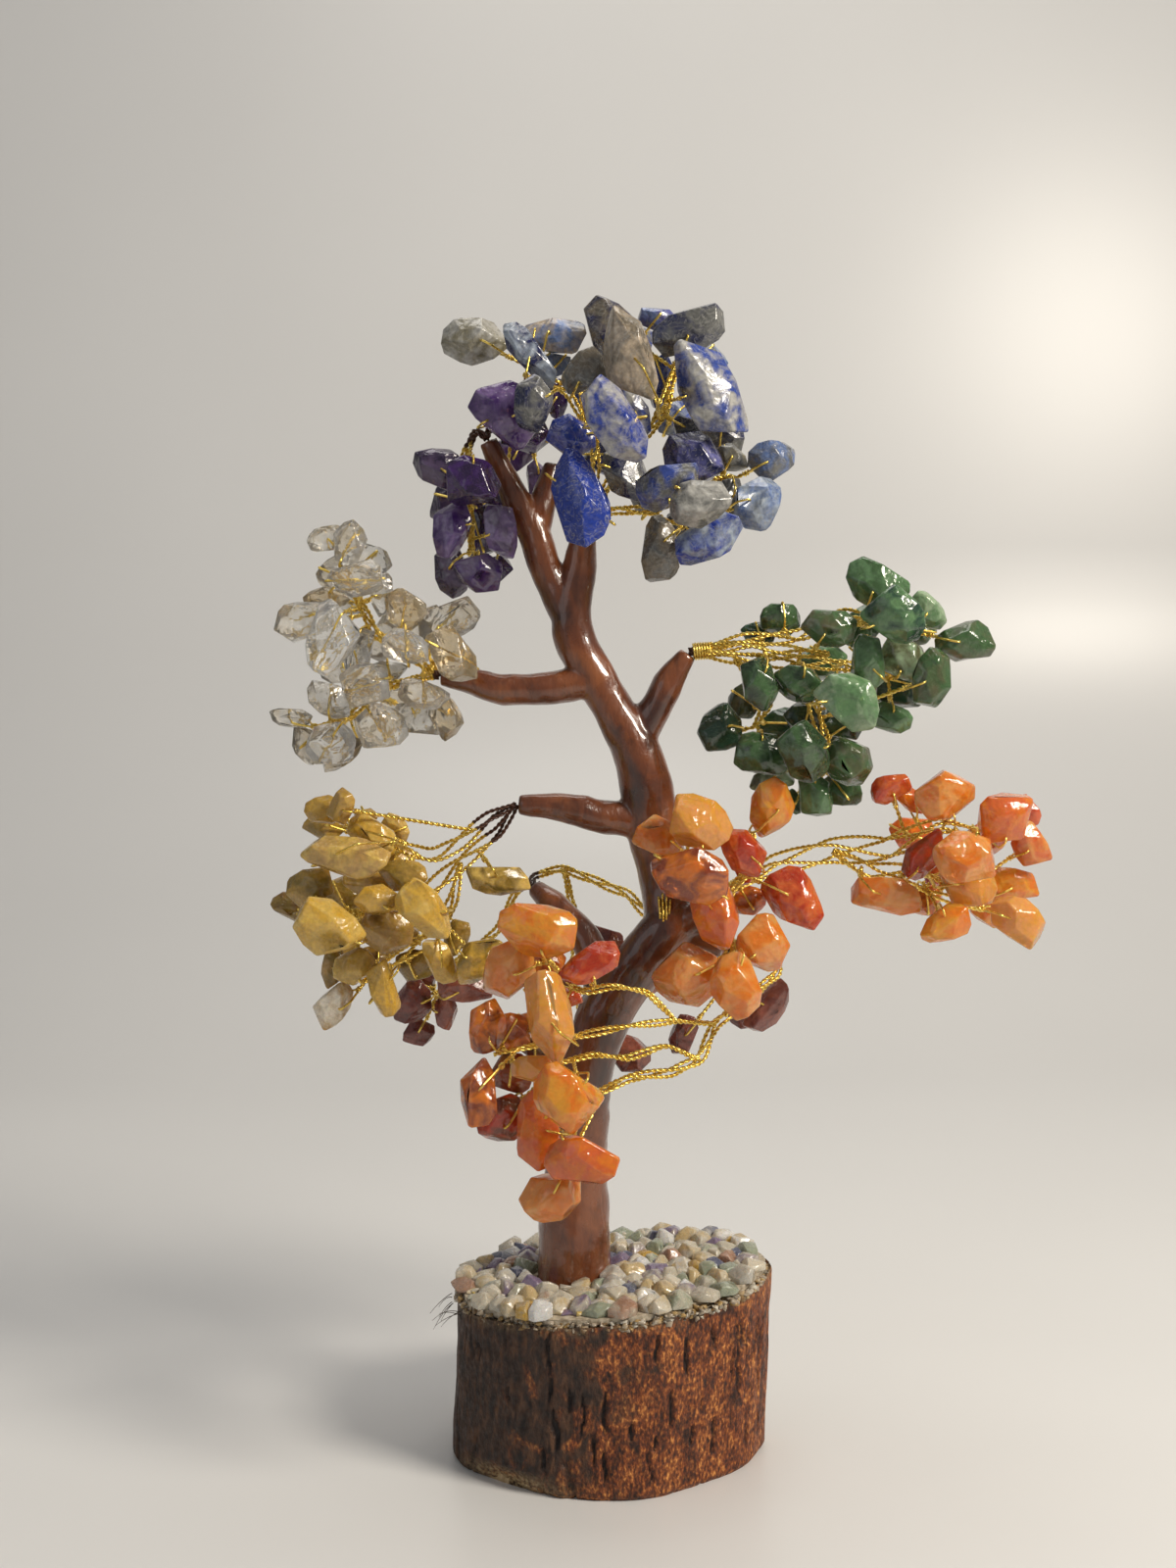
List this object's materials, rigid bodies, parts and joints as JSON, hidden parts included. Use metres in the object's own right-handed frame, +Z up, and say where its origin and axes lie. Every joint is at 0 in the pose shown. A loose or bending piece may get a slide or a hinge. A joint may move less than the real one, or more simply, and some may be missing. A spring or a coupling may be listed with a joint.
{
  "type": "gemstone tree ornament",
  "caption": "Table ornament in the form of a tree: drilled stone chips on bendable twisted wire sprays, a glossy coated wire trunk and a bark covered log slice with stone gravel.",
  "frame": {"origin": "centre of the flat underside of the log slice", "axes": "+Z up, +X to the viewer's right in the picture, +Y away from the viewer"},
  "size_m": [0.1723, 0.0796, 0.2523],
  "materials": {
    "wood": "sawn",
    "bark": "rough bark",
    "glue": "dried glue",
    "coat": "glossy brown resin",
    "core_wire": "bundled wire",
    "wire": "twisted gold coloured wire",
    "gravel_pale": "polished chips",
    "gravel_green": "polished chips",
    "gravel_grey": "polished chips",
    "gravel_amber": "polished chips",
    "gravel_violet": "polished chips",
    "gravel_blue": "polished chips",
    "gravel_red": "polished chips",
    "lapis_stone": "tumbled and polished",
    "amethyst_stone": "tumbled and polished",
    "quartz_stone": "tumbled and polished",
    "green_stone": "tumbled and polished",
    "yellow_stone": "tumbled and polished",
    "carnelian_far_stone": "tumbled and polished",
    "carnelian_near_stone": "tumbled and polished",
    "carnelian_front_stone": "tumbled and polished",
    "jasper_stone": "tumbled and polished"
  },
  "bodies": {
    "tree": {"log_wood": "wood", "log_bark": "bark", "glue_bed": "glue", "trunk_coat": "coat", "trunk_core": "core_wire", "gravel_pale": "gravel_pale", "gravel_green": "gravel_green", "gravel_grey": "gravel_grey", "gravel_amber": "gravel_amber", "gravel_violet": "gravel_violet", "gravel_blue": "gravel_blue", "gravel_red": "gravel_red"},
    "lapis_spray": {"lapis_rope": "wire", "lapis_twigs": "wire", "lapis_stones_1": "lapis_stone", "lapis_stones_2": "lapis_stone", "lapis_stones_3": "lapis_stone"},
    "amethyst_spray": {"amethyst_rope": "wire", "amethyst_twigs": "wire", "amethyst_stones_1": "amethyst_stone", "amethyst_stones_2": "amethyst_stone", "amethyst_stones_3": "amethyst_stone"},
    "quartz_spray": {"quartz_rope": "wire", "quartz_twigs": "wire", "quartz_stones_1": "quartz_stone", "quartz_stones_2": "quartz_stone", "quartz_stones_3": "quartz_stone"},
    "green_spray": {"green_rope": "wire", "green_twigs": "wire", "green_stones_1": "green_stone", "green_stones_2": "green_stone", "green_stones_3": "green_stone"},
    "yellow_spray": {"yellow_rope": "wire", "yellow_twigs": "wire", "yellow_stones_1": "yellow_stone", "yellow_stones_2": "yellow_stone", "yellow_stones_3": "yellow_stone"},
    "carnelian_far_spray": {"carnelian_far_rope": "wire", "carnelian_far_twigs": "wire", "carnelian_far_stones_1": "carnelian_far_stone", "carnelian_far_stones_2": "carnelian_far_stone", "carnelian_far_stones_3": "carnelian_far_stone"},
    "carnelian_near_spray": {"carnelian_near_rope": "wire", "carnelian_near_twigs": "wire", "carnelian_near_stones_1": "carnelian_near_stone", "carnelian_near_stones_2": "carnelian_near_stone", "carnelian_near_stones_3": "carnelian_near_stone"},
    "carnelian_front_spray": {"carnelian_front_rope": "wire", "carnelian_front_twigs": "wire", "carnelian_front_stones_1": "carnelian_front_stone", "carnelian_front_stones_2": "carnelian_front_stone", "carnelian_front_stones_3": "carnelian_front_stone"},
    "jasper_spray": {"jasper_rope": "wire", "jasper_twigs": "wire", "jasper_stones_1": "jasper_stone", "jasper_stones_2": "jasper_stone", "jasper_stones_3": "jasper_stone"}
  },
  "joints": [
    {"name": "lapis_bend", "type": "hinge", "parent": "tree", "child": "lapis_spray", "pos_m": [-0.00496, -0.00005, 0.20252], "axis": [0, 1, 0], "range_deg": [0, 10]},
    {"name": "amethyst_bend", "type": "hinge", "parent": "tree", "child": "amethyst_spray", "pos_m": [-0.02621, -0.00006, 0.22141], "axis": [0, 1, 0], "range_deg": [0, 6]},
    {"name": "quartz_bend", "type": "hinge", "parent": "tree", "child": "quartz_spray", "pos_m": [-0.03689, 0, 0.17033], "axis": [0, 1, 0], "range_deg": [-8, 8]},
    {"name": "green_bend", "type": "hinge", "parent": "tree", "child": "green_spray", "pos_m": [0.01761, -0.00005, 0.17555], "axis": [0, 1, 0], "range_deg": [-10, 2]},
    {"name": "yellow_bend", "type": "hinge", "parent": "tree", "child": "yellow_spray", "pos_m": [-0.02011, 0, 0.14227], "axis": [0, 1, 0], "range_deg": [0, 8]},
    {"name": "carnelian_far_bend", "type": "hinge", "parent": "tree", "child": "carnelian_far_spray", "pos_m": [0.02553, 0.00421, 0.12195], "axis": [0, 1, 0], "range_deg": [0, 10]},
    {"name": "carnelian_near_bend", "type": "hinge", "parent": "tree", "child": "carnelian_near_spray", "pos_m": [0.02159, -0.00833, 0.11955], "axis": [0, 0, 1], "range_deg": [0, 8]},
    {"name": "carnelian_front_bend", "type": "hinge", "parent": "tree", "child": "carnelian_front_spray", "pos_m": [0.0255, -0.00328, 0.11087], "axis": [0, 0, 1], "range_deg": [0, 8]},
    {"name": "jasper_bend", "type": "hinge", "parent": "tree", "child": "jasper_spray", "pos_m": [-0.01669, 0.01228, 0.12283], "axis": [1, 0, 0], "range_deg": [0, 12]}
  ]
}
